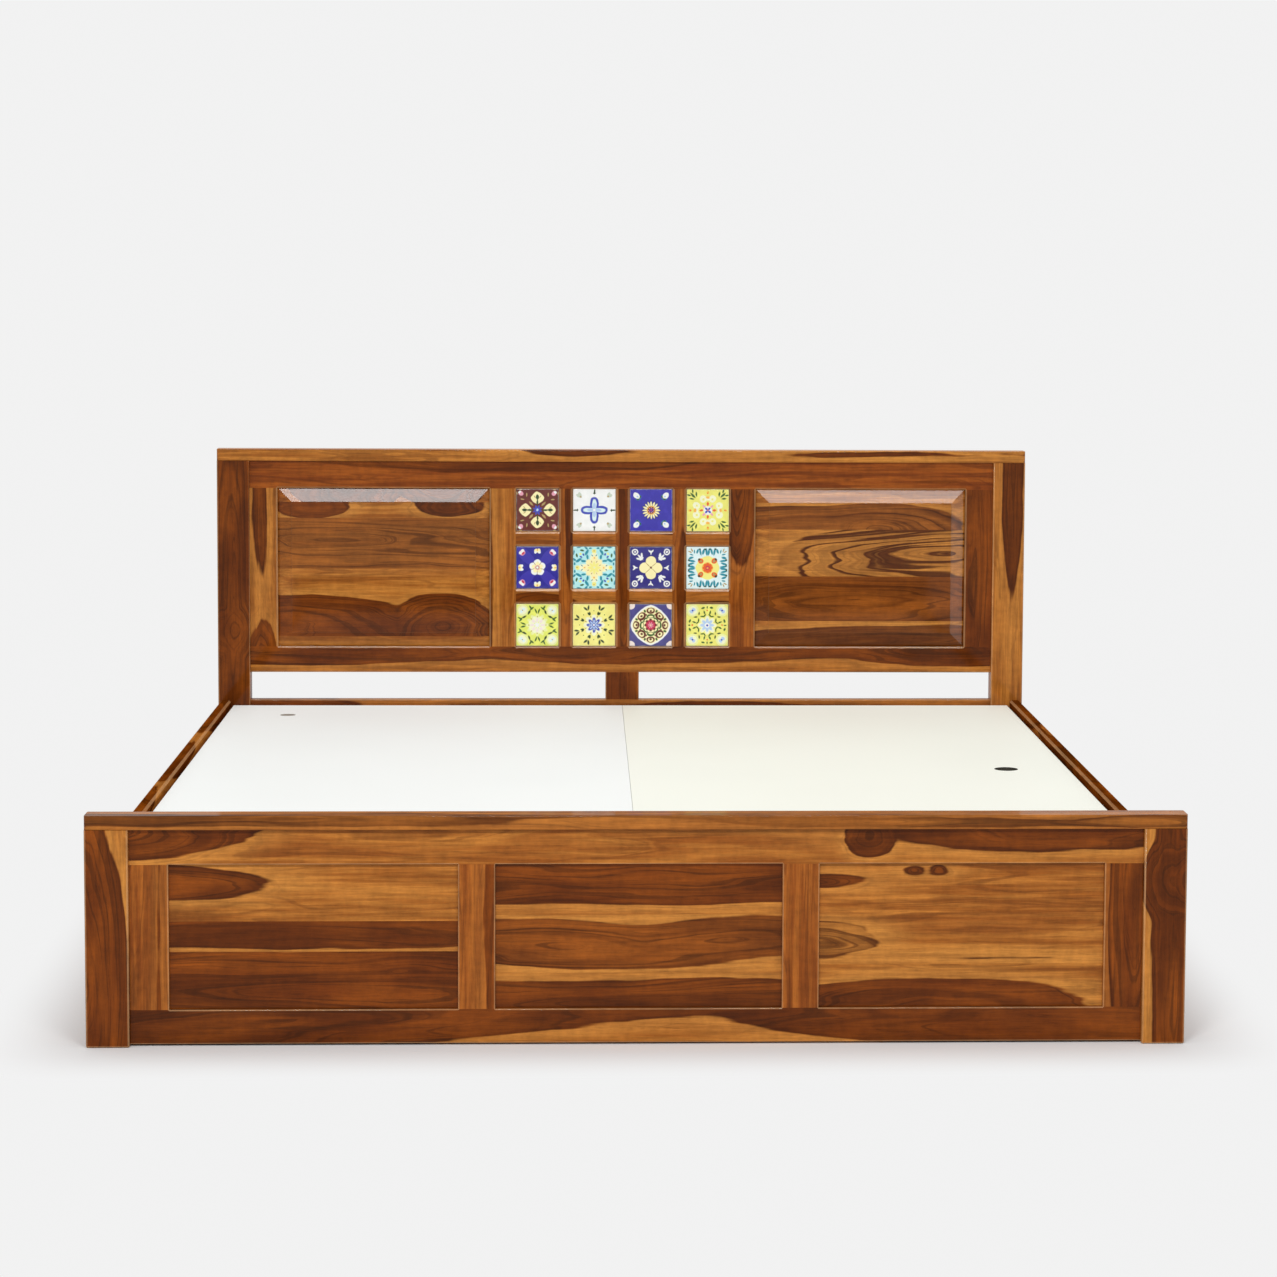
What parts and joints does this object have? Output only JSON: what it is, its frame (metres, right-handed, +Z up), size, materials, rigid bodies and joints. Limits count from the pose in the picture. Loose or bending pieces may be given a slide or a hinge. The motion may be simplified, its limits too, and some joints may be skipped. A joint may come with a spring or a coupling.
{
  "type": "storage bed frame",
  "caption": "Wooden box bed with a panelled headboard set with glazed tiles, a low footboard, and lift-up deck boards over storage.",
  "frame": {"origin": "on the floor, midway between the four posts", "axes": "+X to the right seen from the foot, +Y towards the headboard, +Z up"},
  "size_m": [1.93, 2.134, 0.921],
  "materials": {
    "sheesham_honey": "gloss lacquer over pale sapwood with dark heart streaks",
    "sheesham_amber": "gloss lacquer over red-brown heartwood",
    "sheesham_dark": "gloss lacquer over dark heartwood",
    "backing_board": "plain sanded plywood",
    "deck_board": "off-white faced board, satin",
    "zinc_plated_steel": "bright zinc",
    "tile_a1": "hand painted, clear glaze",
    "tile_a2": "hand painted, clear glaze",
    "tile_a3": "hand painted, clear glaze",
    "tile_a4": "hand painted, clear glaze",
    "tile_b1": "hand painted, clear glaze",
    "tile_b2": "hand painted, clear glaze",
    "tile_b3": "hand painted, clear glaze",
    "tile_b4": "hand painted, clear glaze",
    "tile_c1": "hand painted, clear glaze",
    "tile_c2": "hand painted, clear glaze",
    "tile_c3": "hand painted, clear glaze",
    "tile_c4": "hand painted, clear glaze"
  },
  "bodies": {
    "root": {"head_post_left": "sheesham_dark", "head_post_right": "sheesham_honey", "head_cap": "sheesham_honey", "head_top_rail": "sheesham_amber", "head_lower_rail": "sheesham_amber", "head_stile_outer_left": "sheesham_honey", "head_stile_outer_right": "sheesham_dark", "head_stile_inner_left": "sheesham_amber", "head_stile_inner_right": "sheesham_dark", "head_panel_left": "sheesham_amber", "head_panel_right": "sheesham_honey", "tile_muntins": "sheesham_amber", "tile_bars": "sheesham_dark", "tile_backboard": "backing_board", "tile_a1": "tile_a1", "tile_a2": "tile_a2", "tile_a3": "tile_a3", "tile_a4": "tile_a4", "tile_b1": "tile_b1", "tile_b2": "tile_b2", "tile_b3": "tile_b3", "tile_b4": "tile_b4", "tile_c1": "tile_c1", "tile_c2": "tile_c2", "tile_c3": "tile_c3", "tile_c4": "tile_c4", "head_centre_post": "sheesham_dark", "head_deck_rail": "sheesham_dark", "head_base_rail": "sheesham_dark", "head_base_stiles": "sheesham_amber", "head_base_panels": "backing_board", "foot_post_left": "sheesham_dark", "foot_post_right": "sheesham_dark", "foot_cap": "sheesham_amber", "foot_top_rail": "sheesham_amber", "foot_bottom_rail": "sheesham_amber", "foot_stiles": "sheesham_honey", "foot_panel_left": "sheesham_amber", "foot_panel_centre": "sheesham_dark", "foot_panel_right": "sheesham_honey", "side_top_rail_left": "sheesham_honey", "side_top_rail_right": "sheesham_amber", "side_bottom_rail_left": "sheesham_dark", "side_bottom_rail_right": "sheesham_dark", "side_stiles_left": "sheesham_honey", "side_stiles_right": "sheesham_honey", "side_panels_left": "sheesham_amber", "side_panels_right": "sheesham_amber", "deck_ledges": "backing_board", "centre_bearer": "sheesham_amber", "cross_bearers": "sheesham_amber", "centre_partition": "backing_board", "centre_runner": "sheesham_dark", "storage_floor_left": "backing_board", "storage_floor_right": "backing_board", "floor_cleats": "sheesham_amber", "corner_brackets": "zinc_plated_steel", "frame_screws": "zinc_plated_steel"},
    "deck_right": {"deck_panel_right": "deck_board"},
    "deck_left": {"deck_panel_left": "deck_board"}
  },
  "joints": [
    {"name": "deck_right_tilt", "type": "hinge", "parent": "root", "child": "deck_right", "pos_m": [0.001, 0, 0.308], "axis": [0, -1, 0], "range_deg": [0, 85]},
    {"name": "deck_left_tilt", "type": "hinge", "parent": "root", "child": "deck_left", "pos_m": [-0.001, 0, 0.308], "axis": [0, 1, 0], "range_deg": [0, 85]}
  ]
}
